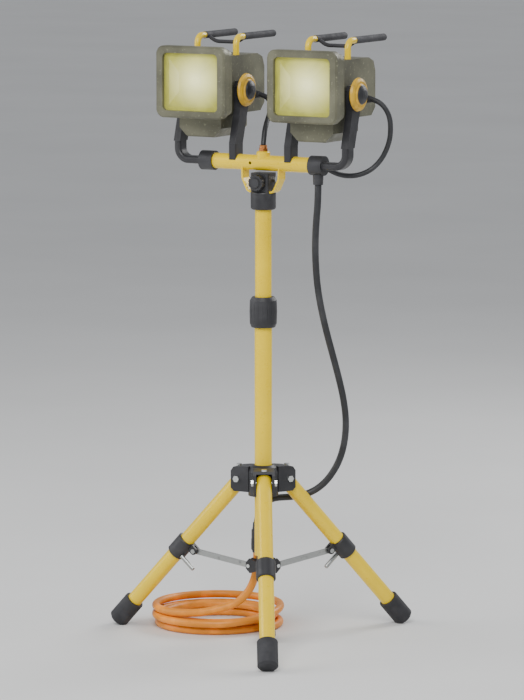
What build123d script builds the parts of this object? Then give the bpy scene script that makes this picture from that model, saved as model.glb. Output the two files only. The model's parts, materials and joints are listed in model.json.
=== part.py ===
from build123d import *
import math
import os

os.makedirs("parts", exist_ok=True)

# Driving dimensions, millimetres. Origin: the floor under the mast. The crossbar runs along X, the lamps face -Y.
MAST_R = 15.3              # lower mast tube, outside
MAST_BORE_R = 14.55        # lower mast tube, inside
INNER_R = 14.5             # upper mast tube, outside
INNER_BORE_R = 13.6        # upper mast tube, inside
SLIP = 0.05                # running clearance on shafts and in bores
LOWER_BOTTOM = 150.0       # lower tube, bottom end
LOWER_TOP = 584.0          # lower tube, top end
UPPER_BOTTOM = 350.0       # upper tube, bottom end
UPPER_TOP = 784.0          # upper tube, top end

HINGE_RADIUS = 43.0        # leg hinge, distance from the mast axis
HINGE_Z = 284.0            # leg hinge, height
LEG_LEAN = 42.5            # legs, degrees from the vertical
LEG_ANGLES = (-58.5, 61.5, 181.5)
LEG_R = 13.5
LEG_WALL = 1.3
LEG_END = 362.0            # leg tube, end measured from its hinge
FOOT_START = 322.0
FOOT_END = 374.4
FOOT_R = 18.0
COLLAR_MID = 179.5         # leg collar, middle measured from the hinge
COLLAR_LENGTH = 36.0
COLLAR_R = 17.0
STAY_ALONG = 166.0         # stay pivot, measured along the leg
STAY_BELOW = 24.0          # stay pivot, measured square to the leg on its inner side
STAY_PIN_R = 2.4
STAY_WIDTH = 10.0
STAY_THICK = 3.0
RING_RADIUS = 26.0         # stay pivot on the ring, distance from the mast axis
RING_Z = 129.0
CORE_R = 11.5

BAR_Z = 839.0              # crossbar axis
BAR_R = 13.5
BAR_WALL = 1.6
BAR_HALF = 115.0
CAP_R = 17.0
CAP_IN = 96.0
CAP_OUT = 122.0
ARM_X = 13.0               # yoke arm section
ARM_Y = 26.0
ARM_JOINT_Z = 871.0
ARM_OFFSET = 56.0          # yoke arm, middle from the lamp's middle

HEAD_X = 111.0             # lamp middle from the mast axis
PIVOT_Y = 17.0
PIVOT_Z = 963.0
PIVOT_R = 4.0
HOUSE_HALF = 47.5
HOUSE_FRONT = -27.0
HOUSE_REAR = 114.0
HOUSE_LOW = 921.0
HOUSE_TOP = 1022.0
BOX_HALF = 42.0
BOX_LOW = 881.0
BOX_REAR = 62.0
WALL = 3.0
BEZEL_W = 138.0
BEZEL_H = 125.0
BEZEL_Z = 978.0
BEZEL_FRONT = -63.0
GLASS_W = 114.0
GLASS_H = 104.0
OPEN_W = 108.0
OPEN_H = 98.0

SUPPLY_R = 6.0
HEAD_CORD_R = 4.5
EXTENSION_R = 7.0


def save(part, name):
    """Label a finished piece and write it."""
    part.label = name
    export_step(part, f"parts/{name}.step")


def radial(angle):
    """The plane of a leg: x outwards, y up."""
    a = math.radians(angle)
    return Plane(origin=(0, 0, 0), x_dir=(math.cos(a), math.sin(a), 0), z_dir=(math.sin(a), -math.cos(a), 0))


def leg_side(angle):
    """The plane of a leg with x down the leg from its hinge and y to its inner side."""
    a = math.radians(angle)
    lean = math.radians(LEG_LEAN)
    out = Vector(math.cos(a), math.sin(a), 0)
    across = Vector(-math.sin(a), math.cos(a), 0)
    down = out * math.sin(lean) - Vector(0, 0, 1) * math.cos(lean)
    return Plane(origin=out * HINGE_RADIUS + Vector(0, 0, HINGE_Z), x_dir=down, z_dir=across)


def leg_cross(angle, along):
    """The plane square to a leg at a distance from its hinge."""
    side = leg_side(angle)
    return Plane(origin=side.origin + side.x_dir * along, x_dir=side.z_dir, z_dir=side.x_dir)


def ring_of(plane, outer, inner, length):
    """A tube from a plane along its normal."""
    with BuildSketch(plane) as section:
        Circle(outer)
        Circle(inner, mode=Mode.SUBTRACT)
    extrude(section.sketch, amount=length)


def rod_of(plane, radius, length, mode=Mode.ADD):
    """A round bar from a plane along its normal."""
    with BuildSketch(plane) as section:
        Circle(radius)
    extrude(section.sketch, amount=length, mode=mode)


# ---- mast ----
with BuildPart() as lower_tube:
    ring_of(Plane.XY.offset(LOWER_BOTTOM), MAST_R, MAST_BORE_R, LOWER_TOP - LOWER_BOTTOM)
save(lower_tube.part, "lower_tube")

with BuildPart() as upper_tube:
    ring_of(Plane.XY.offset(UPPER_BOTTOM), INNER_R, INNER_BORE_R, UPPER_TOP - UPPER_BOTTOM)
save(upper_tube.part, "upper_tube")

SLEEVE_LOW = 556.0
SLEEVE_R = 18.0
with BuildPart() as thread_sleeve:
    ring_of(Plane.XY.offset(SLEEVE_LOW), SLEEVE_R, MAST_R, LOWER_TOP - SLEEVE_LOW)
    for rise in range(4):
        ring_of(Plane.XY.offset(SLEEVE_LOW + 4 + 6 * rise), SLEEVE_R + 0.8, MAST_R + 1, 2.5)
save(thread_sleeve.part, "thread_sleeve")

COLLAR_LOW = 552.5
COLLAR_HIGH = 605.5
BARREL_R = 23.5
with BuildPart() as height_collar:
    with BuildSketch(Plane.XZ) as barrel:
        with BuildLine():
            Polyline((19.4, COLLAR_LOW), (21.0, COLLAR_LOW), (BARREL_R, COLLAR_LOW + 6), (BARREL_R + 0.6, 579.0),
                     (BARREL_R, COLLAR_HIGH - 6), (19.5, COLLAR_HIGH), (15.0, COLLAR_HIGH), (15.0, 589.0),
                     (19.4, 586.0), close=True)
        make_face()
    revolve(barrel.sketch, axis=Axis.Z)
    with BuildSketch(Plane.XY.offset(562.0)) as grooves:
        with PolarLocations(BARREL_R + 1.6, 18):
            Circle(1.7)
    extrude(grooves.sketch, amount=34, mode=Mode.SUBTRACT)
save(height_collar.part, "height_collar")

# ---- stay ring at the foot of the mast ----
LUG_GAP = 2.5              # half the slot a stay moves in
LUG_CHEEK = 5.0
LUG_HALF_Z = 13.0
LUG_REACH = 31.0
with BuildPart() as brace_ring:
    rod_of(Plane.XY.offset(RING_Z - 8), CORE_R, 16)
    rod_of(Plane.XY.offset(RING_Z + 8), MAST_BORE_R - 2.6, LOWER_BOTTOM - RING_Z - 8)
    rod_of(Plane.XY.offset(LOWER_BOTTOM), MAST_BORE_R - SLIP, 22)
    for angle in LEG_ANGLES:
        for side in (-1, 1):
            base = radial(angle)
            with BuildSketch(base.offset(side * (LUG_GAP + LUG_CHEEK / 2))) as cheek:
                with BuildLine():
                    Polyline((CORE_R - 4, RING_Z - 8), (LUG_REACH - 8, RING_Z - LUG_HALF_Z),
                             (LUG_REACH, RING_Z - LUG_HALF_Z + 8), (LUG_REACH, RING_Z + 6),
                             (LUG_REACH - 6, RING_Z + LUG_HALF_Z), (CORE_R - 4, RING_Z + 8), close=True)
                make_face()
            extrude(cheek.sketch, amount=LUG_CHEEK / 2, both=True)
    for angle in LEG_ANGLES:
        with BuildSketch(radial(angle)) as slot:
            with Locations((CORE_R + 20, RING_Z)):
                Rectangle(40, 60)
        extrude(slot.sketch, amount=LUG_GAP, both=True, mode=Mode.SUBTRACT)
save(brace_ring.part, "brace_ring")

with BuildPart() as ring_rivets:
    for angle in LEG_ANGLES:
        for side in (-1, 1):
            face = radial(angle).offset(side * (LUG_GAP + LUG_CHEEK))
            with BuildSketch(face) as head:
                with Locations((RING_RADIUS, RING_Z)):
                    Circle(3.2)
            extrude(head.sketch, amount=side * 1.6)
save(ring_rivets.part, "ring_rivets")

# ---- hub ----
HUB_LOW = 256.0
HUB_TOP = 310.0
HUB_CORE_R = 26.4
POCKET_HALF = 13.9
CHEEK_OUT = 18.6
POCKET_REACH = 55.0
ROOF_Z = 300.6
HUB_PIN_R = 3.0
with BuildPart() as hub:
    with BuildSketch(Plane.XZ) as dome:
        with BuildLine():
            Polyline((MAST_R + SLIP, HUB_LOW), (HUB_CORE_R, HUB_LOW), (HUB_CORE_R, HUB_TOP - 12), (HUB_CORE_R - 3, HUB_TOP - 4),
                     (HUB_CORE_R - 8, HUB_TOP), (MAST_R + SLIP, HUB_TOP), close=True)
        make_face()
    revolve(dome.sketch, axis=Axis.Z)
    for angle in LEG_ANGLES:
        with BuildSketch(radial(angle)) as cheek:
            with BuildLine():
                Polyline((20, 262), (POCKET_REACH - 6, 262), (POCKET_REACH, 268), (POCKET_REACH, 298),
                         (POCKET_REACH - 5, 305), (34, 307), (20, 307), close=True)
            make_face()
        extrude(cheek.sketch, amount=CHEEK_OUT, both=True)
    for angle in LEG_ANGLES:
        with BuildSketch(radial(angle)) as pocket:
            with Locations(((HUB_CORE_R + 0.4 + 70) / 2, (200 + ROOF_Z) / 2)):
                Rectangle(70 - HUB_CORE_R - 0.4, ROOF_Z - 200)
        extrude(pocket.sketch, amount=POCKET_HALF, both=True, mode=Mode.SUBTRACT)
        with BuildSketch(radial(angle)) as bore:
            with Locations((HINGE_RADIUS, HINGE_Z)):
                Circle(HUB_PIN_R)
        extrude(bore.sketch, amount=40, both=True, mode=Mode.SUBTRACT)
    rod_of(Plane.XY.offset(200), MAST_R + SLIP, 200, mode=Mode.SUBTRACT)
save(hub.part, "hub")

with BuildPart() as hub_fasteners:
    for angle in LEG_ANGLES:
        with BuildSketch(radial(angle)) as pin:
            with Locations((HINGE_RADIUS, HINGE_Z)):
                Circle(HUB_PIN_R)
        extrude(pin.sketch, amount=CHEEK_OUT, both=True)
        for side in (-1, 1):
            with BuildSketch(radial(angle).offset(side * CHEEK_OUT)) as head:
                with Locations((HINGE_RADIUS, HINGE_Z)):
                    RegularPolygon(6.0, 6)
            extrude(head.sketch, amount=side * 4)
        a = math.radians(angle)
        top = Plane(origin=(48 * math.cos(a), 48 * math.sin(a), 305.2), z_dir=(0, 0, 1))
        rod_of(top, 5.0, 3.4)
save(hub_fasteners.part, "hub_fasteners")

# ---- legs and stays ----
PIVOT_OUT = HINGE_RADIUS + STAY_ALONG * math.sin(math.radians(LEG_LEAN)) - STAY_BELOW * math.cos(math.radians(LEG_LEAN))
PIVOT_UP = HINGE_Z - STAY_ALONG * math.cos(math.radians(LEG_LEAN)) - STAY_BELOW * math.sin(math.radians(LEG_LEAN))
STAY_LENGTH = math.hypot(PIVOT_OUT - RING_RADIUS, PIVOT_UP - RING_Z)
STAY_SLOPE = math.degrees(math.atan2(PIVOT_UP - RING_Z, PIVOT_OUT - RING_RADIUS))
PEG_ALONG = 188.0
PEG_ASIDE = 9.5
PEG_R = 3.8
print("stay pivot", round(PIVOT_OUT, 3), round(PIVOT_UP, 3), "length", round(STAY_LENGTH, 3), "slope", round(STAY_SLOPE, 3))

for number, angle in enumerate(LEG_ANGLES, start=1):
    with BuildPart() as leg_tube:
        ring_of(leg_cross(angle, -8), LEG_R, LEG_R - LEG_WALL, LEG_END + 8)
        with BuildSketch(leg_side(angle)) as bore:
            Circle(HUB_PIN_R + SLIP)
        extrude(bore.sketch, amount=30, both=True, mode=Mode.SUBTRACT)
    save(leg_tube.part, f"leg_tube_{number}")

    with BuildPart() as foot:
        rod_of(leg_cross(angle, FOOT_START), FOOT_R, FOOT_END - FOOT_START)
        chamfer(foot.edges().filter_by(GeomType.CIRCLE).sort_by(Axis.Z)[0], 4)
        fillet(foot.edges().filter_by(GeomType.CIRCLE).sort_by(Axis.Z)[-1], 2)
        rod_of(leg_cross(angle, FOOT_START - 1), LEG_R + SLIP, LEG_END - FOOT_START + 1, mode=Mode.SUBTRACT)
        with BuildSketch(Plane.XY) as floor_cut:
            Circle(400)
        extrude(floor_cut.sketch, amount=-20, mode=Mode.SUBTRACT)
    save(foot.part, f"foot_{number}")

    with BuildPart() as leg_collar:
        rod_of(leg_cross(angle, COLLAR_MID - COLLAR_LENGTH / 2), COLLAR_R, COLLAR_LENGTH)
        chamfer(leg_collar.edges().filter_by(GeomType.CIRCLE), 1.5)
        with BuildSketch(leg_side(angle)) as lug:
            with Locations((STAY_ALONG, STAY_BELOW / 2)):
                Rectangle(13, STAY_BELOW)
            with Locations((STAY_ALONG, STAY_BELOW)):
                Circle(6.5)
        extrude(lug.sketch, amount=7, both=True)
        with BuildSketch(leg_side(angle)) as slot:
            with Locations((STAY_ALONG, COLLAR_R + 0.6 + 10)):
                Rectangle(30, 20)
        extrude(slot.sketch, amount=LUG_GAP, both=True, mode=Mode.SUBTRACT)
        with BuildSketch(leg_side(angle)) as bore:
            with Locations((STAY_ALONG, STAY_BELOW)):
                Circle(STAY_PIN_R)
        extrude(bore.sketch, amount=10, both=True, mode=Mode.SUBTRACT)
        rod_of(leg_cross(angle, COLLAR_MID - 40), LEG_R + SLIP, 80, mode=Mode.SUBTRACT)
    save(leg_collar.part, f"leg_collar_{number}")

    side = leg_side(angle)
    peg_root = side.origin + side.x_dir * PEG_ALONG + side.z_dir * PEG_ASIDE + side.y_dir * 14.6
    with BuildPart() as leg_pins:
        with BuildSketch(leg_side(angle)) as pin:
            with Locations((STAY_ALONG, STAY_BELOW)):
                Circle(STAY_PIN_R)
        extrude(pin.sketch, amount=7, both=True)
        for hand in (-1, 1):
            with BuildSketch(leg_side(angle).offset(hand * 7)) as head:
                with Locations((STAY_ALONG, STAY_BELOW)):
                    Circle(4.0)
            extrude(head.sketch, amount=hand * 1.8)
        rod_of(Plane(origin=peg_root, z_dir=side.y_dir), PEG_R, 33)
        fillet(leg_pins.edges().filter_by(GeomType.CIRCLE).filter_by(lambda e: abs(e.radius - PEG_R) < 0.01).sort_by(Axis.Z)[0], 2)
    save(leg_pins.part, f"leg_pins_{number}")

    stay_dir = radial(angle)
    slope = math.radians(STAY_SLOPE)
    middle = ((PIVOT_OUT + RING_RADIUS) / 2, (PIVOT_UP + RING_Z) / 2)
    with BuildPart() as brace:
        with BuildSketch(stay_dir) as bar:
            with Locations(Location((middle[0], middle[1], 0), (0, 0, STAY_SLOPE))):
                SlotCenterToCenter(STAY_LENGTH, STAY_WIDTH)
            with Locations((PIVOT_OUT, PIVOT_UP)):
                Circle(STAY_PIN_R + SLIP, mode=Mode.SUBTRACT)
            with Locations((RING_RADIUS, RING_Z)):
                Circle(STAY_PIN_R, mode=Mode.SUBTRACT)
        extrude(bar.sketch, amount=STAY_THICK / 2, both=True)
    save(brace.part, f"brace_{number}")

# ---- swivel block, stirrup and crossbar ----
SOCKET_LOW = 758.0
SOCKET_R = 22.0
BLOCK_TOP = 822.0
BLOCK_HALF_X = 18.0
BLOCK_HALF_Y = 16.0
STRAP_W = 22.0
STRAP_T = 3.0
STRAP_Z = 789.0
KNOB_Z = 806.0
KNOB_R = 14.0
STUD_R = 3.0
CROSS_BOLT_R = 3.0
with BuildPart() as swivel_block:
    rod_of(Plane.XY.offset(SOCKET_LOW), SOCKET_R, 32)
    fillet(swivel_block.edges().filter_by(GeomType.CIRCLE), 4)
    with BuildSketch(Plane.XY.offset(787.0)) as block:
        RectangleRounded(2 * BLOCK_HALF_X, 2 * BLOCK_HALF_Y, 5)
    extrude(block.sketch, amount=BLOCK_TOP - 787.0)
    with BuildSketch(Plane.XZ.offset(BLOCK_HALF_Y - 3)) as boss:
        with Locations((0, KNOB_Z)):
            Circle(11)
    extrude(boss.sketch, amount=5)
    with BuildSketch(Plane.XZ) as strap_slot:
        with Locations((0, STRAP_Z)):
            Rectangle(80, STRAP_T + 0.1)
    extrude(strap_slot.sketch, amount=STRAP_W / 2 + 0.05, both=True, mode=Mode.SUBTRACT)
    rod_of(Plane.XY.offset(SOCKET_LOW - 1), INNER_R + SLIP, UPPER_TOP + 0.3 - SOCKET_LOW + 1, mode=Mode.SUBTRACT)
    with BuildSketch(Plane.XZ.offset(4)) as stud_hole:
        with Locations((0, KNOB_Z)):
            Circle(STUD_R + SLIP)
    extrude(stud_hole.sketch, amount=30, mode=Mode.SUBTRACT)
    with BuildSketch(Plane.YZ) as bolt_hole:
        with Locations((7, 811.0)):
            Circle(CROSS_BOLT_R)
    extrude(bolt_hole.sketch, amount=40, both=True, mode=Mode.SUBTRACT)
save(swivel_block.part, "swivel_block")

with BuildPart() as swivel_knob:
    with BuildSketch(Plane.XZ.offset(BLOCK_HALF_Y + 2.4)) as disc:
        with Locations((0, KNOB_Z)):
            Circle(KNOB_R)
            with PolarLocations(KNOB_R + 0.8, 10):
                Circle(2.0, mode=Mode.SUBTRACT)
    extrude(disc.sketch, amount=10)
    with BuildSketch(Plane.XZ.offset(BLOCK_HALF_Y + 12.4)) as crown:
        with Locations((0, KNOB_Z)):
            Circle(9.5)
    extrude(crown.sketch, amount=3, taper=25)
    with BuildSketch(Plane.XZ.offset(5)) as stud:
        with Locations((0, KNOB_Z)):
            Circle(STUD_R)
    extrude(stud.sketch, amount=BLOCK_HALF_Y - 2)
save(swivel_knob.part, "swivel_knob")

with BuildPart() as cross_bolt:
    with BuildSketch(Plane.YZ) as shank:
        with Locations((7, 811.0)):
            Circle(CROSS_BOLT_R)
    extrude(shank.sketch, amount=BLOCK_HALF_X, both=True)
    for side in (-1, 1):
        with BuildSketch(Plane.YZ.offset(side * BLOCK_HALF_X)) as head:
            with Locations((7, 811.0)):
                RegularPolygon(5.6, 6)
        extrude(head.sketch, amount=side * 4)
save(cross_bolt.part, "cross_bolt")

with BuildPart() as stirrup:
    with BuildSketch(Plane.XZ) as bend:
        with BuildLine():
            FilletPolyline((-37, 838), (-36, 812), (-25, STRAP_Z), (25, STRAP_Z), (36, 812), (37, 838), radius=9)
        trace(line_width=STRAP_T)
    extrude(bend.sketch, amount=STRAP_W / 2, both=True)
    with BuildSketch(Plane.YZ) as seat:
        with Locations((0, BAR_Z)):
            Circle(BAR_R)
    extrude(seat.sketch, amount=60, both=True, mode=Mode.SUBTRACT)
    with BuildSketch(Plane.XY.offset(BAR_Z)) as above:
        Rectangle(200, 60)
    extrude(above.sketch, amount=-4.0, mode=Mode.SUBTRACT)
save(stirrup.part, "stirrup")

BOSS_R = 12.0
with BuildPart() as crossbar:
    with BuildSketch(Plane.YZ.offset(-BAR_HALF)) as tube:
        with Locations((0, BAR_Z)):
            Circle(BAR_R)
    extrude(tube.sketch, amount=2 * BAR_HALF)
    rod_of(Plane.XY.offset(BAR_Z), BOSS_R, 20.5)
    chamfer(crossbar.faces().sort_by(Axis.Z)[-1].edges(), 2)
    with BuildSketch(Plane.YZ.offset(-BAR_HALF - 1)) as bore:
        with Locations((0, BAR_Z)):
            Circle(BAR_R - BAR_WALL)
    extrude(bore.sketch, amount=2 * BAR_HALF + 2, mode=Mode.SUBTRACT)
    with BuildSketch(Plane.XZ) as pin_hole:
        with Locations((-19, BAR_Z)):
            Circle(2.6)
    extrude(pin_hole.sketch, amount=30, mode=Mode.SUBTRACT)
save(crossbar.part, "crossbar")

GLAND_TOP = 870.0
with BuildPart() as cord_gland:
    with BuildSketch(Plane.XY.offset(BAR_Z + 20.5)) as nut:
        RegularPolygon(8.5, 6)
    extrude(nut.sketch, amount=5)
    rod_of(Plane.XY.offset(BAR_Z + 25.5), 6.5, GLAND_TOP - BAR_Z - 25.5)
save(cord_gland.part, "cord_gland")

EXIT_Z = 806.0
with BuildPart() as yoke_elbows:
    for side in (-1, 1):
        with BuildSketch(Plane.YZ.offset(side * CAP_IN)) as cap:
            with Locations((0, BAR_Z)):
                Circle(CAP_R)
        extrude(cap.sketch, amount=side * (CAP_OUT - CAP_IN))
        with BuildLine() as route:
            FilletPolyline((side * (CAP_OUT - 4), 0, BAR_Z), (side * (HEAD_X + ARM_OFFSET), 0, BAR_Z),
                           (side * (HEAD_X + ARM_OFFSET), 0, ARM_JOINT_Z), radius=20)
        with BuildSketch(Plane.YZ.offset(side * (CAP_OUT - 4))) as section:
            with Locations((0, BAR_Z)):
                RectangleRounded(ARM_Y, ARM_X, 5)
        sweep(section.sketch, path=route.line)
        with BuildSketch(Plane.YZ.offset(side * (CAP_IN - 1))) as bore:
            with Locations((0, BAR_Z)):
                Circle(BAR_R + SLIP)
        extrude(bore.sketch, amount=side * (BAR_HALF + 0.2 - CAP_IN + 1), mode=Mode.SUBTRACT)
    with BuildSketch(Plane.XY.offset(EXIT_Z)) as relief:
        with Locations((109, 0)):
            Circle(SUPPLY_R + 2.5)
    extrude(relief.sketch, amount=18, taper=-3)
    with BuildSketch(Plane.YZ.offset(CAP_IN - 1)) as bore:
        with Locations((0, BAR_Z)):
            Circle(BAR_R + SLIP)
    extrude(bore.sketch, amount=BAR_HALF + 1.2 - CAP_IN, mode=Mode.SUBTRACT)
    with BuildSketch(Plane.XZ.offset(-CAP_R + 2)) as back_relief:
        with Locations((109, BAR_Z - 4)):
            Circle(HEAD_CORD_R + 2)
    extrude(back_relief.sketch, amount=-8)
save(yoke_elbows.part, "yoke_elbows")


def arm(x):
    """An upper yoke arm: from the joint line back and up to the tilt pivot."""
    with BuildSketch(Plane.YZ.offset(x - ARM_X / 2)) as face:
        with BuildLine():
            Polyline((-ARM_Y / 2, ARM_JOINT_Z), (ARM_Y / 2, ARM_JOINT_Z), (PIVOT_Y + 15, PIVOT_Z - 30),
                     (PIVOT_Y + 15, PIVOT_Z + 6), (PIVOT_Y + 8, PIVOT_Z + 15), (PIVOT_Y - 8, PIVOT_Z + 15),
                     (PIVOT_Y - 14, PIVOT_Z + 6), (PIVOT_Y - 12, PIVOT_Z - 30), close=True)
        make_face()
        with Locations((PIVOT_Y, PIVOT_Z)):
            Circle(PIVOT_R + SLIP, mode=Mode.SUBTRACT)
    extrude(face.sketch, amount=ARM_X)


with BuildPart() as yoke_outer_arms:
    for side in (-1, 1):
        arm(side * (HEAD_X + ARM_OFFSET))
save(yoke_outer_arms.part, "yoke_outer_arms")

with BuildPart() as yoke_inner_arms:
    for side in (-1, 1):
        x = side * (HEAD_X - ARM_OFFSET)
        arm(x)
        with BuildSketch(Plane.XY.offset(BAR_Z)) as post:
            with Locations((x, 0)):
                RectangleRounded(ARM_X + 1.6, ARM_Y + 1.6, 3)
        extrude(post.sketch, amount=ARM_JOINT_Z - BAR_Z)
    with BuildSketch(Plane.YZ) as seat:
        with Locations((0, BAR_Z)):
            Circle(BAR_R)
    extrude(seat.sketch, amount=100, both=True, mode=Mode.SUBTRACT)
    with BuildSketch(Plane.XY.offset(BAR_Z - 1)) as below:
        Rectangle(300, 60)
    extrude(below.sketch, amount=5, mode=Mode.SUBTRACT)
save(yoke_inner_arms.part, "yoke_inner_arms")

# ---- the two lamps, each around its own middle ----
KNOB_FLANGE_R = 29.0
SHANK_IN = HOUSE_HALF - 4.0
MOUTH_Y = 50.8             # reflector mouth, in front of the mast axis
FLOOR_Y = 10.0             # reflector floor, behind the mast axis
LAMP_Z = 972.0
POST_X = 39.0
POST_Y = 30.0
POST_R = 5.5
GRIP_R = 6.2
GRIP_Z = 1053.0
GRIP_LENGTH = 108.0
SIDE_GLAND_Y = 74.0
SIDE_GLAND_Z = 951.0
for name, middle in (("left", -HEAD_X), ("right", HEAD_X)):
    pivot_x = middle + ARM_OFFSET + ARM_X / 2
    with BuildPart() as housing:
        with BuildSketch(Plane.YZ.offset(middle)) as shell:
            with BuildLine():
                Polyline((HOUSE_FRONT, HOUSE_LOW), (HOUSE_REAR - 14, HOUSE_LOW), (HOUSE_REAR, HOUSE_LOW + 14),
                         (HOUSE_REAR, HOUSE_TOP - 24), (HOUSE_REAR - 7, HOUSE_TOP - 7), (HOUSE_REAR - 24, HOUSE_TOP),
                         (HOUSE_FRONT, HOUSE_TOP), close=True)
            make_face()
        extrude(shell.sketch, amount=HOUSE_HALF, both=True)
        with BuildSketch(Plane.XZ.offset(-HOUSE_FRONT)) as box:
            with BuildLine():
                Polyline((middle - BOX_HALF, HOUSE_LOW + 1), (middle - BOX_HALF, BOX_LOW + 16),
                         (middle - BOX_HALF + 16, BOX_LOW), (middle + BOX_HALF - 16, BOX_LOW),
                         (middle + BOX_HALF, BOX_LOW + 16), (middle + BOX_HALF, HOUSE_LOW + 1), close=True)
            make_face()
        extrude(box.sketch, amount=-(BOX_REAR - HOUSE_FRONT))
        fillet(housing.edges().filter_by(Axis.X).sort_by(Axis.Z)[0:2], 5)
        with BuildSketch(Plane.YZ.offset(middle)) as cavity:
            with BuildLine():
                Polyline((HOUSE_FRONT - 1, HOUSE_LOW + WALL), (HOUSE_REAR - 16, HOUSE_LOW + WALL), (HOUSE_REAR - WALL, HOUSE_LOW + 16),
                         (HOUSE_REAR - WALL, HOUSE_TOP - 26), (HOUSE_REAR - 26, HOUSE_TOP - WALL),
                         (HOUSE_FRONT - 1, HOUSE_TOP - WALL), close=True)
            make_face()
        extrude(cavity.sketch, amount=HOUSE_HALF - WALL, both=True, mode=Mode.SUBTRACT)
        with BuildSketch(Plane.XZ.offset(-HOUSE_FRONT - WALL)) as chamber:
            with Locations((middle, (BOX_LOW + HOUSE_LOW) / 2)):
                Rectangle(2 * BOX_HALF - 36, HOUSE_LOW - BOX_LOW - 2 * WALL)
        extrude(chamber.sketch, amount=-(BOX_REAR - HOUSE_FRONT - 2 * WALL), mode=Mode.SUBTRACT)
        with BuildSketch(Plane.YZ.offset(middle)) as pivot_bore:
            with Locations((PIVOT_Y, PIVOT_Z)):
                Circle(PIVOT_R)
        extrude(pivot_bore.sketch, amount=HOUSE_HALF + 5, both=True, mode=Mode.SUBTRACT)
    save(housing.part, f"housing_{name}")

    with BuildPart() as bezel:
        with BuildSketch(Plane.XZ.offset(-BEZEL_FRONT)) as rim:
            with Locations((middle, BEZEL_Z)):
                RectangleRounded(BEZEL_W, BEZEL_H, 15)
        extrude(rim.sketch, amount=-17)
        chamfer(bezel.faces().sort_by(Axis.Y)[0].edges(), 3)
        with BuildSketch(Plane.XZ.offset(-BEZEL_FRONT - 17)) as band:
            with Locations((middle, BEZEL_Z - 0.5)):
                RectangleRounded(BEZEL_W - 10, BEZEL_H - 10, 12)
        extrude(band.sketch, amount=-(HOUSE_FRONT - BEZEL_FRONT - 17))
        with BuildSketch(Plane.XZ.offset(-BEZEL_FRONT + 1)) as window:
            with Locations((middle, BEZEL_Z)):
                RectangleRounded(OPEN_W + 2, OPEN_H + 2, 8)
        extrude(window.sketch, amount=-8, mode=Mode.SUBTRACT)
        with BuildSketch(Plane.XZ.offset(-BEZEL_FRONT - 7)) as inside:
            with Locations((middle, BEZEL_Z)):
                RectangleRounded(GLASS_W + 0.6, GLASS_H + 0.6, 6)
        extrude(inside.sketch, amount=-25.0, mode=Mode.SUBTRACT)
        with BuildSketch(Plane.XZ.offset(-HOUSE_FRONT + 4.1)) as throat:
            with Locations((middle, (HOUSE_LOW + HOUSE_TOP) / 2)):
                Rectangle(2 * (HOUSE_HALF - WALL), HOUSE_TOP - HOUSE_LOW - 2 * WALL)
        extrude(throat.sketch, amount=-8, mode=Mode.SUBTRACT)
    save(bezel.part, f"bezel_{name}")

    with BuildPart() as lens:
        with BuildSketch(Plane.XZ.offset(-BEZEL_FRONT - 7)) as pane:
            with Locations((middle, BEZEL_Z)):
                RectangleRounded(GLASS_W, GLASS_H, 6)
        extrude(pane.sketch, amount=-4)
    save(lens.part, f"lens_{name}")

    with BuildPart() as reflector:
        for inset, mode in ((0.0, Mode.ADD), (2.4, Mode.SUBTRACT)):
            with BuildSketch(Plane.XZ.offset(MOUTH_Y + inset / 4)) as mouth:
                with Locations((middle, BEZEL_Z)):
                    Rectangle(GLASS_W - 4 - inset, GLASS_H - 4 - inset)
            with BuildSketch(Plane.XZ.offset(-FLOOR_Y + inset / 2)) as floor:
                with Locations((middle, LAMP_Z)):
                    Rectangle(38 - inset, 28 - inset)
            loft(sections=[mouth.sketch, floor.sketch], mode=mode)
    save(reflector.part, f"reflector_{name}")

    with BuildPart() as lamp:
        with BuildSketch(Plane.YZ.offset(middle - 14)) as envelope:
            with Locations((FLOOR_Y - 8, LAMP_Z)):
                Circle(4.5)
        extrude(envelope.sketch, amount=28)
        fillet(lamp.edges(), 1.5)
    save(lamp.part, f"lamp_{name}")

    with BuildPart() as handle_posts:
        for side in (-1, 1):
            x = middle + side * POST_X
            with BuildLine() as rise:
                FilletPolyline((x, POST_Y, HOUSE_TOP), (x, POST_Y, GRIP_Z), (x, POST_Y + 24, GRIP_Z), radius=14)
            with BuildSketch(Plane.XY.offset(HOUSE_TOP)) as section:
                with Locations((x, POST_Y)):
                    Circle(POST_R)
            sweep(section.sketch, path=rise.line)
    save(handle_posts.part, f"handle_posts_{name}")

    with BuildPart() as handle_grips:
        for side in (-1, 1):
            with BuildSketch(Plane.XZ.offset(-POST_Y - 24)) as section:
                with Locations((middle + side * POST_X, GRIP_Z)):
                    Circle(GRIP_R)
            extrude(section.sketch, amount=-GRIP_LENGTH)
        fillet(handle_grips.edges().filter_by(GeomType.CIRCLE).group_by(Axis.Y)[-1], 3)
        with BuildLine() as sag:
            FilletPolyline((middle - POST_X, POST_Y + 34, GRIP_Z), (middle - 22, POST_Y + 34, GRIP_Z - 11),
                           (middle + 22, POST_Y + 34, GRIP_Z - 11), (middle + POST_X, POST_Y + 34, GRIP_Z), radius=26)
        with BuildSketch(Plane(origin=sag.line @ 0, z_dir=sag.line % 0)) as wire:
            Circle(3.4)
        sweep(wire.sketch, path=sag.line)
    save(handle_grips.part, f"handle_grips_{name}")

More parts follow.
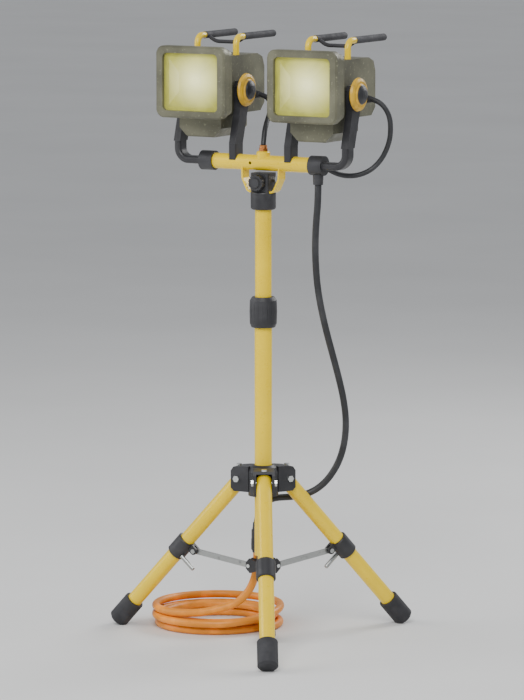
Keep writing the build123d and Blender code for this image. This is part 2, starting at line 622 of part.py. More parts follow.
    with BuildPart() as pivot_bolt:
        far = middle - ARM_OFFSET - ARM_X / 2
        with BuildSketch(Plane.YZ.offset(middle + SHANK_IN - 2)) as shank:
            with Locations((PIVOT_Y, PIVOT_Z)):
                Circle(PIVOT_R)
        extrude(shank.sketch, amount=pivot_x - middle - SHANK_IN + 8)
        with BuildSketch(Plane.YZ.offset(far - 0.4)) as far_shank:
            with Locations((PIVOT_Y, PIVOT_Z)):
                Circle(PIVOT_R)
        extrude(far_shank.sketch, amount=middle - SHANK_IN + 2 - far)
        with BuildSketch(Plane.YZ.offset(far - 0.4)) as head:
            with Locations((PIVOT_Y, PIVOT_Z)):
                RegularPolygon(8, 6)
        extrude(head.sketch, amount=-5)
    save(pivot_bolt.part, f"pivot_bolt_{name}")

    with BuildPart() as tilt_knob:
        with BuildSketch(Plane.XZ) as profile:
            with BuildLine():
                Polyline((pivot_x + 0.4, 0), (pivot_x + 0.4, KNOB_FLANGE_R - 4), (pivot_x + 4, KNOB_FLANGE_R),
                         (pivot_x + 8, KNOB_FLANGE_R - 1.5), (pivot_x + 10, KNOB_FLANGE_R - 6), (pivot_x + 10, 19),
                         (pivot_x + 15, 15), (pivot_x + 18, 8), (pivot_x + 19, 0), close=True)
            make_face()
        revolve(profile.sketch, axis=Axis.X)
        with BuildSketch(Plane.YZ.offset(pivot_x)) as socket:
            Circle(PIVOT_R + SLIP)
        extrude(socket.sketch, amount=8.4, mode=Mode.SUBTRACT)
    save(Pos(0, PIVOT_Y, PIVOT_Z) * tilt_knob.part, f"tilt_knob_{name}")

    with BuildPart() as side_gland:
        with BuildSketch(Plane.YZ.offset(middle + HOUSE_HALF)) as nut:
            with Locations((SIDE_GLAND_Y, SIDE_GLAND_Z)):
                RegularPolygon(8.5, 6)
        extrude(nut.sketch, amount=4)
        with BuildSketch(Plane.YZ.offset(middle + HOUSE_HALF + 4)) as sleeve:
            with Locations((SIDE_GLAND_Y, SIDE_GLAND_Z)):
                Circle(7)
        extrude(sleeve.sketch, amount=9, taper=8)
    save(side_gland.part, f"side_gland_{name}")

# ---- cords: straight runs joined by the largest tangent arcs that the runs allow ----


def corner_radii(points):
    """One arc radius for each inner point of a route."""
    found = []
    for before, at, after in zip(points, points[1:], points[2:]):
        first = Vector(*at) - Vector(*before)
        second = Vector(*after) - Vector(*at)
        turn = math.radians(first.get_angle(second))
        found.append(0.45 * min(first.length, second.length) / math.tan(turn / 2))
    return found


def cord(routes, radius, name):
    """A plain round cord along each of its routes."""
    with BuildPart() as tube:
        for points in routes:
            with BuildLine() as route:
                FilletPolyline(*points, radius=corner_radii(points))
            with BuildSketch(Plane(origin=route.line @ 0, z_dir=route.line % 0)) as section:
                Circle(radius)
            before = tube.part.volume if tube.part else 0
            sweep(section.sketch, path=route.line)
            length = route.wires()[0].length
            share = (tube.part.volume - before) / (math.pi * radius**2 * length)
            print(name, "length", round(length, 1), "share", round(share, 4), "radii", [round(r) for r in corner_radii(points)])
    save(tube.part, name)


PLUG_X = -23.0
PLUG_Y = 18.0
PLUG_TOP = 203.0
PLUG_FACE = 174.0
SOCKET_END = 150.0
BLADE_APART = 6.0
SUPPLY_ROUTE = (
    (109, 0, EXIT_Z - 0.5), (108.5, 0.5, 776), (102, 6, 742), (96, 13, 704), (92, 22, 662), (90, 33, 620),
    (91, 46, 579), (93, 61, 539), (96, 76, 501), (99, 91, 462), (101, 106, 422), (100, 118, 382), (94, 125, 343),
    (83, 126, 307), (67, 120, 277), (51, 110, 258), (34, 98, 247), (17, 82, 243), (3, 66, 243), (-7, 52, 243),
    (-14.5, 39, 239), (-19.5, 28.5, 230), (-22.3, 21, 217.5), (PLUG_X, PLUG_Y, PLUG_TOP),
)
cord((SUPPLY_ROUTE,), SUPPLY_R, "supply_cord")

with BuildPart() as supply_plug:
    rod_of(Plane(origin=(PLUG_X, PLUG_Y, PLUG_FACE), z_dir=(0, 0, 1)), 10.0, 16)
    with BuildSketch(Plane.XY.offset(PLUG_FACE + 16)) as neck:
        with Locations((PLUG_X, PLUG_Y)):
            Circle(8.5)
    extrude(neck.sketch, amount=PLUG_TOP - PLUG_FACE - 16, taper=6)
    with BuildSketch(Plane.XY.offset(PLUG_FACE)) as blades:
        with Locations((PLUG_X - BLADE_APART, PLUG_Y), (PLUG_X + BLADE_APART, PLUG_Y)):
            Rectangle(1.6, 6)
    extrude(blades.sketch, amount=-14)
save(supply_plug.part, "supply_plug")

with BuildPart() as extension_connector:
    rod_of(Plane(origin=(PLUG_X, PLUG_Y, PLUG_FACE), z_dir=(0, 0, -1)), 10.5, 19)
    with BuildSketch(Plane.XY.offset(PLUG_FACE - 19)) as neck:
        with Locations((PLUG_X, PLUG_Y)):
            Circle(9.0)
    extrude(neck.sketch, amount=-(PLUG_FACE - 19 - SOCKET_END), taper=8)
    with BuildSketch(Plane.XY.offset(PLUG_FACE)) as slots:
        with Locations((PLUG_X - BLADE_APART, PLUG_Y), (PLUG_X + BLADE_APART, PLUG_Y)):
            Rectangle(1.8, 6.2)
    extrude(slots.sketch, amount=-15, mode=Mode.SUBTRACT)
save(extension_connector.part, "extension_connector")

COIL_X = -138.0
COIL_Y = 74.0
COIL_R = 98.0
COIL_WIDTH = 40.0
COIL_HEIGHT = 42.0
with BuildPart() as extension_coil:
    with BuildSketch(Plane(origin=(COIL_X, COIL_Y, 0), x_dir=(1, 0, 0), z_dir=(0, -1, 0))) as turns:
        with Locations((COIL_R, COIL_HEIGHT / 2)):
            RectangleRounded(COIL_WIDTH, COIL_HEIGHT, 10)
    revolve(turns.sketch, axis=Axis((COIL_X, COIL_Y, 0), (0, 0, 1)))
save(extension_coil.part, "extension_coil")

LEAD_ROUTE = (
    (PLUG_X, PLUG_Y, SOCKET_END), (-24, 19, 128), (-28, 19, 104), (-36, 15, 82), (-49, 8, 65), (-62, 0, 54),
    (-76, -8, 47),
)
TAIL_ROUTE = ((-26, 53, 8), (-13, 37, 8.5), (2, 15, 13))
cord((LEAD_ROUTE, TAIL_ROUTE), EXTENSION_R, "extension_lead")

with BuildPart() as extension_plug:
    aim = Plane(origin=(2, 15, 13), z_dir=(0.5, -0.866, 0))
    with BuildSketch(aim) as neck:
        Circle(8.5)
    extrude(neck.sketch, amount=20, taper=-6)
    rod_of(Plane(origin=aim.origin + aim.z_dir * 20, z_dir=aim.z_dir), 12.5, 18)
    with BuildSketch(Plane(origin=aim.origin + aim.z_dir * 38, x_dir=(0.866, 0.5, 0), z_dir=aim.z_dir)) as blades:
        with Locations((-BLADE_APART, 0), (BLADE_APART, 0)):
            Rectangle(1.6, 6)
    extrude(blades.sketch, amount=14)
save(extension_plug.part, "extension_plug")

RIGHT_ROUTE = (
    (HEAD_X + HOUSE_HALF + 14.7, SIDE_GLAND_Y, SIDE_GLAND_Z), (184, 75, 948), (194, 77, 941), (201, 80, 930),
    (204, 84, 916), (203, 88, 899), (199, 92, 880), (191, 93, 860), (180, 90, 841), (166, 81, 826), (149, 67, 818),
    (132, 52, 818), (118, 36, 825), (109, 23, BAR_Z - 4),
)
cord((RIGHT_ROUTE,), HEAD_CORD_R, "head_cord_right")

LEFT_ROUTE = (
    (-HEAD_X + HOUSE_HALF + 14.7, SIDE_GLAND_Y, SIDE_GLAND_Z), (-38, 73, 948.5), (-28, 69, 943), (-20, 61, 935),
    (-15, 50, 926), (-11, 38, 917), (-7, 25, 909), (-3.5, 13, 899), (-1, 4.5, 886), (0, 0, GLAND_TOP),
)
cord((LEFT_ROUTE,), HEAD_CORD_R, "head_cord_left")
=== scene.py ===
"""Looks of a twin-head work light on a folding tripod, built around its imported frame."""

import json
import math

import bmesh
import bpy
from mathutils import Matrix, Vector


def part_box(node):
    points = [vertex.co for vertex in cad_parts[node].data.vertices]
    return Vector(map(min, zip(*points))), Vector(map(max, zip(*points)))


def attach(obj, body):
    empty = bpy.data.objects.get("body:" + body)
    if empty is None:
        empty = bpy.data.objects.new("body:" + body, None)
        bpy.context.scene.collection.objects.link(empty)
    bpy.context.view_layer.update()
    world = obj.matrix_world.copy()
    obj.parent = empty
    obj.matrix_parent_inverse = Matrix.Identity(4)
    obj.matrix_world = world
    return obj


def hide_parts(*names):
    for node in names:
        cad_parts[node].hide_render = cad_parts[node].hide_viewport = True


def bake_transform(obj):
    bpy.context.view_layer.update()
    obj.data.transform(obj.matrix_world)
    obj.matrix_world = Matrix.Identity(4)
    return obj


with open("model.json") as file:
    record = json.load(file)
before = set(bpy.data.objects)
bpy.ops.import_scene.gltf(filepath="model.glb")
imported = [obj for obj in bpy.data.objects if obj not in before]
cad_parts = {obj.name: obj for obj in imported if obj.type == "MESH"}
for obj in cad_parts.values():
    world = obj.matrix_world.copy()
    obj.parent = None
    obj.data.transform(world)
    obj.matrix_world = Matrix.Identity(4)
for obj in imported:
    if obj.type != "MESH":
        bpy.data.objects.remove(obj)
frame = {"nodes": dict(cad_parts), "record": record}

bl_info = {
    "name": "Tripod Work Light",
    "version": (1, 0, 0),
    "blender": (4, 5, 0),
    "location": "3D View > Sidebar > Work Light",
    "description": "Cords, glass, finishes and stage of a twin-head work light",
    "category": "Object",
}

SIDES = ("left", "right")
NODES = frame["nodes"]
SLOT_OF = {part["node"]: part["material_slot"] for part in frame["record"]["subparts"]}

# ---- sizes and colours a user may change ----


class WorkLightSizes(bpy.types.PropertyGroup):
    """Sizes of the cords and the glass"""

    supply_diameter: bpy.props.FloatProperty(
        name="Supply cord", description="Diameter of the supply cord", default=0.012, unit="LENGTH")
    extension_diameter: bpy.props.FloatProperty(
        name="Extension cord", description="Diameter of the coiled cord", default=0.014, unit="LENGTH")
    lamp_cord_diameter: bpy.props.FloatProperty(
        name="Lamp cord", description="Diameter of each lamp's own cord", default=0.009, unit="LENGTH")
    coil_turns: bpy.props.FloatProperty(
        name="Coil turns", description="Turns of the coiled cord on the floor", default=4.88, min=1.0)
    glass_border: bpy.props.FloatProperty(
        name="Glass border", description="Flat border round the glass's raised middle", default=0.009, unit="LENGTH")
    glass_rise: bpy.props.FloatProperty(
        name="Glass rise", description="How far the glass's middle stands forward", default=0.006, unit="LENGTH")


def colour_prop(label, words, value):
    """A colour setting for one finish."""
    return bpy.props.FloatVectorProperty(
        name=label, description=words, default=value, size=3, subtype="COLOR", min=0.0, max=1.0)


class WorkLightColours(bpy.types.PropertyGroup):
    """Colours of the finishes"""

    enamel: colour_prop("Enamel", "Yellow enamel of the tubes", (0.96, 0.66, 0.001))
    nylon: colour_prop("Nylon", "Black moulded collars and arms", (0.022, 0.022, 0.025))
    casting: colour_prop("Casting", "Painted lamp castings", (0.150, 0.147, 0.098))
    steel: colour_prop("Steel", "Zinc plated steel", (0.42, 0.43, 0.42))
    jacket: colour_prop("Black jacket", "Jacket of the black cords", (0.020, 0.021, 0.024))
    orange: colour_prop("Orange jacket", "Jacket of the coiled cord", (0.74, 0.25, 0.010))
    glow: colour_prop("Glass tint", "Tint of the lit glass", (0.78, 0.77, 0.17))


# ---- materials ----


class Graph:
    """Small helper that wires one material's nodes."""

    def __init__(self, name):
        self.material = bpy.data.materials.new(name)
        self.material.use_nodes = True
        self.nodes = self.material.node_tree.nodes
        self.links = self.material.node_tree.links
        self.shader = self.nodes["Principled BSDF"]
        self.place = self.nodes.new("ShaderNodeTexCoord").outputs["Object"]

    def stretched(self, scale):
        """Object coordinates stretched along each axis."""
        mapping = self.nodes.new("ShaderNodeMapping")
        mapping.inputs["Scale"].default_value = scale
        self.links.new(self.place, mapping.inputs["Vector"])
        return mapping.outputs["Vector"]

    def noise(self, scale, detail=4.0, source=None):
        """Noise of one size."""
        node = self.nodes.new("ShaderNodeTexNoise")
        node.inputs["Scale"].default_value = scale
        node.inputs["Detail"].default_value = detail
        self.links.new(source or self.place, node.inputs["Vector"])
        return node.outputs["Fac"]

    def spread(self, value, low, high, start=0.3, end=0.7):
        """A value mapped to a new range."""
        node = self.nodes.new("ShaderNodeMapRange")
        node.inputs["From Min"].default_value = start
        node.inputs["From Max"].default_value = end
        node.inputs["To Min"].default_value = low
        node.inputs["To Max"].default_value = high
        self.links.new(value, node.inputs["Value"])
        return node.outputs["Result"]

    def mix(self, factor, first, second):
        """Two colours, or sockets, mixed by a factor."""
        node = self.nodes.new("ShaderNodeMix")
        node.data_type = "RGBA"
        self.links.new(factor, node.inputs["Factor"])
        for socket, value in ((node.inputs[6], first), (node.inputs[7], second)):
            if isinstance(value, bpy.types.NodeSocket):
                self.links.new(value, socket)
            else:
                socket.default_value = (*value, 1.0)
        return node.outputs[2]

    def distance(self, centre, squash=(1.0, 1.0, 1.0)):
        """Distance from a point of the object, measured along weighted axes."""
        shift = self.nodes.new("ShaderNodeVectorMath")
        shift.operation = "SUBTRACT"
        shift.inputs[1].default_value = centre
        self.links.new(self.place, shift.inputs[0])
        weigh = self.nodes.new("ShaderNodeVectorMath")
        weigh.operation = "MULTIPLY"
        weigh.inputs[1].default_value = squash
        self.links.new(shift.outputs[0], weigh.inputs[0])
        length = self.nodes.new("ShaderNodeVectorMath")
        length.operation = "LENGTH"
        self.links.new(weigh.outputs[0], length.inputs[0])
        return length.outputs["Value"]

    def colour(self, value):
        self.links.new(value, self.shader.inputs["Base Color"])

    def rough(self, value):
        self.links.new(value, self.shader.inputs["Roughness"])

    def bump(self, height, strength, distance):
        """Surface relief, chained onto any relief already there."""
        node = self.nodes.new("ShaderNodeBump")
        node.inputs["Strength"].default_value = strength
        node.inputs["Distance"].default_value = distance
        self.links.new(height, node.inputs["Height"])
        normal = self.shader.inputs["Normal"]
        if normal.is_linked:
            self.links.new(normal.links[0].from_socket, node.inputs["Normal"])
        self.links.new(node.outputs["Normal"], normal)

    def set(self, **values):
        """Constant values straight on the shader's sockets."""
        for name, value in values.items():
            self.shader.inputs[name.replace("_", " ")].default_value = value


def shade(colour, factor):
    """A colour made lighter or darker."""
    return tuple(min(1.0, part * factor) for part in colour)


def enamel_finish(name, colour):
    """Glossy enamel on tube: slight orange peel, grime clouds and fine scuffs."""
    g = Graph(name)
    cloud = g.spread(g.noise(9.0, 5.0), 0.0, 1.0)
    scuff = g.spread(g.noise(130.0, 9.0), 0.0, 1.0, 0.68, 0.80)
    body = g.mix(cloud, shade(colour, 0.88), shade(colour, 1.06))
    g.colour(g.mix(scuff, body, shade(colour, 0.62)))
    g.rough(g.spread(g.noise(60.0, 6.0), 0.24, 0.40))
    g.bump(g.noise(420.0, 2.0), 0.10, 0.0004)
    g.set(Coat_Weight=0.15, Coat_Roughness=0.12)
    return g.material


def moulded_finish(name, colour, low=0.38, high=0.56, grain=1500.0, relief=0.25):
    """Moulded plastic or rubber: fine spark texture, dust and worn paler patches."""
    g = Graph(name)
    dust = g.spread(g.noise(26.0, 8.0), 0.0, 1.0, 0.48, 0.74)
    g.colour(g.mix(dust, colour, tuple(part * 1.5 + 0.012 for part in colour)))
    g.rough(g.spread(g.noise(75.0, 6.0), low, high))
    g.bump(g.noise(grain, 3.0), relief, 0.0003)
    return g.material


def casting_finish(name, colour):
    """Painted die casting: pebbled paint, patches of soot and rubbed paler specks, both placed by noise."""
    g = Graph(name)
    soot = g.spread(g.noise(16.0, 7.0), 0.0, 1.0, 0.38, 0.66)
    rubbed = g.spread(g.noise(190.0, 9.0), 0.0, 1.0, 0.60, 0.72)
    body = g.mix(soot, shade(colour, 0.66), shade(colour, 1.18))
    g.colour(g.mix(rubbed, body, shade(colour, 1.9)))
    g.rough(g.spread(g.noise(90.0, 5.0), 0.36, 0.58))
    g.bump(g.noise(650.0, 4.0), 0.30, 0.0005)
    g.set(Metallic=0.25)
    return g.material


def plated_finish(name, colour, low, high):
    """Plated steel: drawn lines, water marks and small dull spots."""
    g = Graph(name)
    lines = g.noise(55.0, 5.0, g.stretched((1.0, 1.0, 22.0)))
    spots = g.spread(g.noise(110.0, 7.0), 0.0, 1.0, 0.58, 0.74)
    g.colour(g.mix(spots, colour, shade(colour, 0.6)))
    g.rough(g.spread(lines, low, high))
    g.bump(lines, 0.08, 0.0002)
    g.set(Metallic=1.0)
    return g.material


def foam_finish(name, colour):
    """Closed-cell foam grip."""
    g = Graph(name)
    cells = g.nodes.new("ShaderNodeTexVoronoi")
    cells.inputs["Scale"].default_value = 950.0
    g.links.new(g.place, cells.inputs["Vector"])
    g.colour(g.mix(g.spread(g.noise(30.0, 6.0), 0.0, 1.0), colour, tuple(part * 1.8 for part in colour)))
    g.rough(g.spread(g.noise(70.0), 0.66, 0.86))
    g.bump(cells.outputs["Distance"], 0.35, 0.0005)
    return g.material


def reflector_finish(name):
    """Hammered, heat-tinted reflector sheet."""
    g = Graph(name)
    dimples = g.nodes.new("ShaderNodeTexVoronoi")
    dimples.inputs["Scale"].default_value = 150.0
    g.links.new(g.place, dimples.inputs["Vector"])
    g.colour(g.mix(g.spread(g.noise(22.0), 0.0, 1.0), (0.86, 0.84, 0.56), (0.72, 0.66, 0.34)))
    g.rough(g.spread(g.noise(60.0), 0.16, 0.30))
    g.bump(dimples.outputs["Distance"], 0.5, 0.0015)
    g.set(Metallic=0.9)
    return g.material


def knob_finish(name, colour, dome, centre):
    """Yellow knob rim round a dark domed middle."""
    g = Graph(name)
    away = g.distance(centre, (0.0, 1.0, 1.0))
    rim = g.spread(away, 0.0, 1.0, 0.0165, 0.0175)
    worn = g.mix(g.spread(g.noise(55.0, 8.0), 0.0, 1.0, 0.42, 0.7), colour, shade(colour, 0.55))
    g.colour(g.mix(rim, dome, worn))
    g.rough(g.spread(g.noise(80.0), 0.30, 0.48))
    g.bump(g.noise(900.0, 3.0), 0.15, 0.0003)
    return g.material


def glass_finish(name, colour, centre):
    """Prismatic front glass, lit from behind and brightest beside its middle."""
    g = Graph(name)
    hot = Vector(centre) + Vector((0.010, 0.0, 0.004))
    glow = g.spread(g.distance(tuple(hot), (1.0, 0.0, 1.15)), 1.0, 0.0, 0.006, 0.062)
    ripple = g.spread(g.noise(38.0, 3.0), 0.0, 1.0)
    streak = g.mix(ripple, shade(colour, 0.78), colour)
    tint = g.mix(glow, streak, (1.0, 1.0, 0.62))
    g.colour(tint)
    g.links.new(tint, g.shader.inputs["Emission Color"])
    g.links.new(g.spread(glow, 0.08, 0.50, 0.0, 1.0), g.shader.inputs["Emission Strength"])
    g.rough(g.spread(g.noise(120.0), 0.06, 0.16))
    g.bump(g.noise(170.0, 2.0, g.stretched((1.0, 1.0, 0.25))), 0.25, 0.0008)
    g.set(Transmission_Weight=0.55, IOR=1.47)
    return g.material


def quartz_finish(name):
    """Frosted quartz burner."""
    g = Graph(name)
    g.colour(g.mix(g.spread(g.noise(80.0), 0.0, 1.0), (1.0, 0.98, 0.86), (0.95, 0.90, 0.70)))
    g.rough(g.spread(g.noise(150.0), 0.15, 0.32))
    g.set(Transmission_Weight=0.4)
    return g.material


def settings():
    """The scene's size and colour settings."""
    return bpy.context.scene.work_light_sizes, bpy.context.scene.work_light_colours


def finish_table():
    """One material for each slot of the record that all its nodes share."""
    tints = bpy.context.scene.work_light_colours
    return {
        "yellow_paint": enamel_finish("yellow_enamel", tints.enamel),
        "black_nylon": moulded_finish("black_nylon", tints.nylon),
        "cast_grey": casting_finish("olive_casting", tints.casting),
        "reflector_metal": reflector_finish("hammered_reflector"),
        "quartz": quartz_finish("quartz_burner"),
        "zinc_steel": plated_finish("zinc_plate", tints.steel, 0.30, 0.50),
        "bright_steel": plated_finish("bright_plate", shade(tints.steel, 1.6), 0.16, 0.32),
        "foot_rubber": moulded_finish("foot_rubber", shade(tints.nylon, 1.2), 0.62, 0.82, 900.0, 0.4),
        "cord_black": moulded_finish("black_jacket", tints.jacket, 0.42, 0.60, 1100.0, 0.2),
        "cord_orange": moulded_finish("orange_jacket", tints.orange, 0.34, 0.52, 800.0, 0.2),
        "grip_foam": foam_finish("grip_foam", shade(tints.nylon, 1.3)),
        "copper_gland": plated_finish("copper_gland", (0.74, 0.30, 0.10), 0.26, 0.44),
    }


FINISHES = {}


def finish_for(slot):
    """The shared material of a slot, made once."""
    if not FINISHES:
        FINISHES.update(finish_table())
    return FINISHES[slot]


# ---- making pieces ----


def put(obj, material, body):
    """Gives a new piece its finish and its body."""
    obj.data.materials.clear()
    obj.data.materials.append(material)
    if body:
        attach(obj, body)


def new_object(name, data):
    """A linked object at the origin."""
    obj = bpy.data.objects.new(name, data)
    bpy.context.scene.collection.objects.link(obj)
    return obj


def cord_curve(name, route, diameter):
    """A round cord on one smooth open spline through its route."""
    data = bpy.data.curves.new(name, "CURVE")
    data.dimensions = "3D"
    data.resolution_u = 8
    spline = data.splines.new("NURBS")
    spline.points.add(len(route) - 1)
    for point, place in zip(spline.points, route):
        point.co = (*place, 1.0)
    spline.order_u = 3
    spline.use_endpoint_u = True
    data.bevel_depth = diameter / 2
    data.bevel_resolution = 5
    data.use_fill_caps = True
    return new_object(name, data)


def cord_tube(name, route, diameter):
    """A cord made a mesh, with the centreline that its spline follows."""
    curve = cord_curve(name + "_line", route, diameter)
    tube = new_object(name, bpy.data.meshes.new_from_object(curve))
    tube.data.polygons.foreach_set("use_smooth", [True] * len(tube.data.polygons))
    curve.data.bevel_depth = 0.0
    line = bpy.data.meshes.new_from_object(curve)
    path = [tuple(vertex.co) for vertex in line.vertices]
    bpy.data.objects.remove(curve)
    return tube, path


SUPPLY_ROUTE = (
    (0.109, 0.0, 0.8055), (0.1085, 0.0005, 0.776), (0.102, 0.006, 0.742), (0.096, 0.013, 0.704),
    (0.092, 0.022, 0.662), (0.090, 0.033, 0.620), (0.091, 0.046, 0.579), (0.093, 0.061, 0.539),
    (0.096, 0.076, 0.501), (0.099, 0.091, 0.462), (0.101, 0.106, 0.422), (0.100, 0.118, 0.382),
    (0.094, 0.125, 0.343), (0.083, 0.126, 0.307), (0.067, 0.120, 0.277), (0.051, 0.110, 0.258),
    (0.034, 0.098, 0.247), (0.017, 0.082, 0.243), (0.003, 0.066, 0.243), (-0.007, 0.052, 0.243),
    (-0.0145, 0.039, 0.239), (-0.0195, 0.0285, 0.230), (-0.0223, 0.021, 0.2175), (-0.023, 0.018, 0.203),
)
LEAD_ROUTE = (
    (-0.023, 0.018, 0.150), (-0.024, 0.019, 0.128), (-0.028, 0.019, 0.104), (-0.036, 0.015, 0.082),
    (-0.049, 0.008, 0.065), (-0.062, 0.0, 0.054),
)
TAIL_ROUTE = ((-0.026, 0.053, 0.008), (-0.013, 0.037, 0.0085), (0.002, 0.015, 0.013))
LAMP_ROUTES = {
    "right": (
        (0.1732, 0.074, 0.951), (0.184, 0.075, 0.948), (0.194, 0.077, 0.941), (0.201, 0.080, 0.930),
        (0.204, 0.084, 0.916), (0.203, 0.088, 0.899), (0.199, 0.092, 0.880), (0.191, 0.093, 0.860),
        (0.180, 0.090, 0.841), (0.166, 0.081, 0.826), (0.149, 0.067, 0.818), (0.132, 0.052, 0.818),
        (0.118, 0.036, 0.825), (0.109, 0.023, 0.835),
    ),
    "left": (
        (-0.0488, 0.074, 0.951), (-0.038, 0.073, 0.9485), (-0.028, 0.069, 0.943), (-0.020, 0.061, 0.935),
        (-0.015, 0.050, 0.926), (-0.011, 0.038, 0.917), (-0.007, 0.025, 0.909), (-0.0035, 0.013, 0.899),
        (-0.001, 0.0045, 0.886), (0.0, 0.0, 0.870),
    ),
}

COIL_CENTRE = (-0.138, 0.074)
COIL_START = math.radians(-53.0)
COIL_POINTS_A_TURN = 20
# the smooth line passes just inside its points, so they stand a little further out
COIL_SPREAD = 1.009
COIL_OUT_OF_ROUND = 0.0025
COIL_LEAN = 0.6
INNER_TURN = 0.085
OUTER_TURN = 0.111
# turns gone, radius and height of the cord's middle
COIL_STEPS = (
    (0.0, 0.103, 0.044), (0.15, 0.105, 0.0355), (0.5, OUTER_TURN, 0.0355), (0.78, OUTER_TURN, 0.0355),
    (1.0, OUTER_TURN, 0.0213), (2.83, INNER_TURN, 0.0213), (3.05, INNER_TURN, 0.0071),
    (4.88, OUTER_TURN, 0.0071),
)


def coil_place(turn):
    """Radius and height of the coiled cord after some turns."""
    for (before, low_r, low_z), (after, high_r, high_z) in zip(COIL_STEPS, COIL_STEPS[1:]):
        if turn <= after:
            share = (turn - before) / (after - before)
            return low_r + (high_r - low_r) * share, low_z + (high_z - low_z) * share
    return COIL_STEPS[-1][1:]


def coil_route(turns):
    """Points of the coil, clockwise from where the lead lands on it, a little out of round."""
    places = []
    for index in range(1, int(turns * COIL_POINTS_A_TURN) + 1):
        turn = index / COIL_POINTS_A_TURN
        radius, height = coil_place(turn)
        angle = COIL_START - turn * 2 * math.pi
        radius = radius * COIL_SPREAD + COIL_OUT_OF_ROUND * math.sin(2 * angle + COIL_LEAN)
        across = COIL_CENTRE[0] + radius * math.cos(angle)
        along = COIL_CENTRE[1] + radius * math.sin(angle)
        places.append((across, along, height))
    return tuple(places)


# ---- camera and lights: places in metres, angles in degrees, power in watts ----

CAMERA_PLACE = (3.9375, -6.8199, 1.550)
CAMERA_TILT = 82.49
CAMERA_TURN = 30.0
CAMERA_LENS_MM = 234.5
CAMERA_SHIFT = -0.0019
SENSOR_MM = 36.0
CAMERA_REACH = 60.0
FLOOR_HALF = 30.0
AIR_COLOUR = (0.86, 0.88, 0.92, 1.0)
AIR_STRENGTH = 0.55
LIGHTS_AIM = Vector((0.0, 0.0, 0.6))
# name, place, size and power
LIGHTS = (
    ("key_light", (1.2, -2.8, 2.9), 1.8, 105.0),
    ("fill_light", (-2.6, -1.6, 1.7), 2.2, 45.0),
    ("rim_light", (0.8, 2.7, 2.3), 1.6, 60.0),
)
GLASS_SLOPE = 0.026
GLASS_EDGE = 0.0006

# ---- operators ----


class WorkLightCamera(bpy.types.Operator):
    """Add the camera"""

    bl_idname = "work_light.camera"
    bl_label = "Camera"

    def execute(self, context):
        data = bpy.data.cameras.new("work_light_camera")
        data.sensor_fit = "VERTICAL"
        data.sensor_height = SENSOR_MM
        data.lens = CAMERA_LENS_MM
        data.shift_x = CAMERA_SHIFT
        data.clip_end = CAMERA_REACH
        camera = new_object("work_light_camera", data)
        camera.location = CAMERA_PLACE
        camera.rotation_euler = (math.radians(CAMERA_TILT), 0.0, math.radians(CAMERA_TURN))
        context.scene.camera = camera
        return {"FINISHED"}


class WorkLightSupplyCord(bpy.types.Operator):
    """Make the supply cord that hangs from the crossbar to its plug"""

    bl_idname = "work_light.supply_cord"
    bl_label = "Supply cord"

    def execute(self, context):
        sizes, _ = settings()
        cord, path = cord_tube("mains_cord", SUPPLY_ROUTE, sizes.supply_diameter)
        put(cord, finish_for("cord_black"), None)
        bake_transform(cord)
        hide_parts("supply_cord")
        return {"FINISHED"}


class WorkLightExtensionCord(bpy.types.Operator):
    """Make the orange cord: its lead, the coil on the floor and its tail"""

    bl_idname = "work_light.extension_cord"
    bl_label = "Extension cord"

    def execute(self, context):
        sizes, _ = settings()
        route = LEAD_ROUTE + coil_route(sizes.coil_turns) + TAIL_ROUTE
        cord = cord_curve("coiled_cord", route, sizes.extension_diameter)
        put(cord, finish_for("cord_orange"), "mast_lower")
        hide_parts("extension_lead", "extension_coil")
        return {"FINISHED"}


class WorkLightLampCords(bpy.types.Operator):
    """Make the short cord from each lamp to the crossbar"""

    bl_idname = "work_light.lamp_cords"
    bl_label = "Lamp cords"

    def execute(self, context):
        sizes, _ = settings()
        for side in SIDES:
            route = LAMP_ROUTES[side]
            cord, path = cord_tube("lamp_cord_" + side, route, sizes.lamp_cord_diameter)
            put(cord, finish_for("cord_black"), None)
            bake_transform(cord)
            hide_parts("head_cord_" + side)
        return {"FINISHED"}


class WorkLightGlass(bpy.types.Operator):
    """Make the raised front glass of each lamp"""

    bl_idname = "work_light.glass"
    bl_label = "Front glass"

    def execute(self, context):
        sizes, tints = settings()
        for side in SIDES:
            node = "lens_" + side
            low, high = (Vector(corner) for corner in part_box(node))
            middle = (low + high) / 2
            shape = bmesh.new()
            bmesh.ops.create_cube(shape, size=1.0)
            bmesh.ops.scale(shape, vec=high - low, verts=shape.verts)
            bmesh.ops.translate(shape, vec=middle, verts=shape.verts)
            front = [face for face in shape.faces if face.normal.y < -0.9]
            bmesh.ops.inset_region(shape, faces=front, thickness=sizes.glass_border, use_even_offset=True)
            bmesh.ops.inset_region(shape, faces=front, thickness=GLASS_SLOPE, use_even_offset=True)
            rise = [vertex for face in front for vertex in face.verts]
            bmesh.ops.translate(shape, vec=(0.0, -sizes.glass_rise, 0.0), verts=rise)
            bmesh.ops.bevel(shape, geom=shape.edges[:], offset=GLASS_EDGE, offset_type="OFFSET", segments=2,
                            profile=0.5, affect="EDGES", material=-1)
            bmesh.ops.recalc_face_normals(shape, faces=shape.faces)
            mesh = bpy.data.meshes.new("front_glass_" + side)
            shape.to_mesh(mesh)
            shape.free()
            glass = new_object("front_glass_" + side, mesh)
            put(glass, glass_finish("lit_glass_" + side, tints.glow, tuple(middle)), "lamp_" + side)
            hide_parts(node)
        return {"FINISHED"}


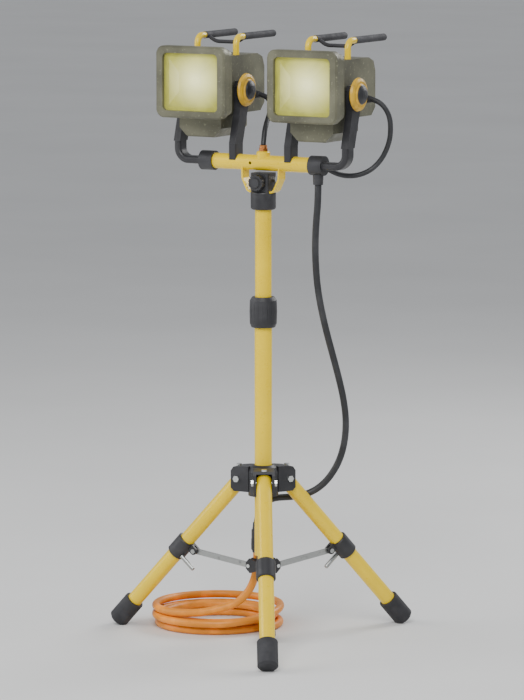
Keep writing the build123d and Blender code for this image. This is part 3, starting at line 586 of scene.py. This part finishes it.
class WorkLightFinishes(bpy.types.Operator):
    """Give every frame node its detailed finish"""

    bl_idname = "work_light.finishes"
    bl_label = "Finishes"

    def execute(self, context):
        _, tints = settings()
        for name, obj in NODES.items():
            slot = SLOT_OF[name]
            if slot == "knob_yellow":
                low, high = (Vector(corner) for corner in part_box(name))
                material = knob_finish(name + "_rim", (0.72, 0.42, 0.02), tints.nylon, tuple((low + high) / 2))
            elif slot == "lens_glass":
                continue
            else:
                material = finish_for(slot)
            obj.data.materials.clear()
            obj.data.materials.append(material)
        return {"FINISHED"}


class WorkLightStage(bpy.types.Operator):
    """Add the floor and the soft lights"""

    bl_idname = "work_light.stage"
    bl_label = "Stage"

    def execute(self, context):
        shape = bmesh.new()
        bmesh.ops.create_grid(shape, x_segments=1, y_segments=1, size=FLOOR_HALF)
        mesh = bpy.data.meshes.new("studio_floor")
        shape.to_mesh(mesh)
        shape.free()
        floor = new_object("studio_floor", mesh)
        g = Graph("pale_floor")
        g.colour(g.mix(g.spread(g.noise(1.5), 0.0, 1.0), (0.74, 0.74, 0.73), (0.78, 0.78, 0.77)))
        g.set(Roughness=0.75)
        mesh.materials.append(g.material)
        world = bpy.data.worlds.new("studio_air")
        world.use_nodes = True
        air = world.node_tree.nodes["Background"]
        air.inputs["Color"].default_value = AIR_COLOUR
        air.inputs["Strength"].default_value = AIR_STRENGTH
        context.scene.world = world
        for name, place, size, power in LIGHTS:
            data = bpy.data.lights.new(name, "AREA")
            data.size = size
            data.energy = power
            light = new_object(name, data)
            light.location = place
            light.rotation_euler = (LIGHTS_AIM - Vector(place)).to_track_quat("-Z", "Y").to_euler()
        return {"FINISHED"}


OPERATORS = (
    WorkLightCamera, WorkLightSupplyCord, WorkLightExtensionCord, WorkLightLampCords, WorkLightGlass,
    WorkLightFinishes, WorkLightStage,
)


class WorkLightPanel(bpy.types.Panel):
    """Lists the work light's settings and pieces"""

    bl_idname = "VIEW3D_PT_work_light"
    bl_label = "Work Light"
    bl_space_type = "VIEW_3D"
    bl_region_type = "UI"
    bl_category = "Work Light"

    def draw(self, context):
        for group in settings():
            for name in group.__annotations__:
                self.layout.prop(group, name)
        for operator in OPERATORS:
            self.layout.operator(operator.bl_idname)


CLASSES = (WorkLightSizes, WorkLightColours, *OPERATORS, WorkLightPanel)


def register():
    """Registers the classes and the scene's settings."""
    for item in CLASSES:
        bpy.utils.register_class(item)
    bpy.types.Scene.work_light_sizes = bpy.props.PointerProperty(type=WorkLightSizes)
    bpy.types.Scene.work_light_colours = bpy.props.PointerProperty(type=WorkLightColours)


def unregister():
    """Removes what register added."""
    del bpy.types.Scene.work_light_colours
    del bpy.types.Scene.work_light_sizes
    for item in reversed(CLASSES):
        bpy.utils.unregister_class(item)


def main():
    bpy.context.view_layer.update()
    register()
    bpy.ops.work_light.camera()
    bpy.ops.work_light.supply_cord()
    bpy.ops.work_light.extension_cord()
    bpy.ops.work_light.lamp_cords()
    bpy.ops.work_light.glass()
    bpy.ops.work_light.finishes()
    bpy.ops.work_light.stage()


if __name__ == "__main__":
    main()
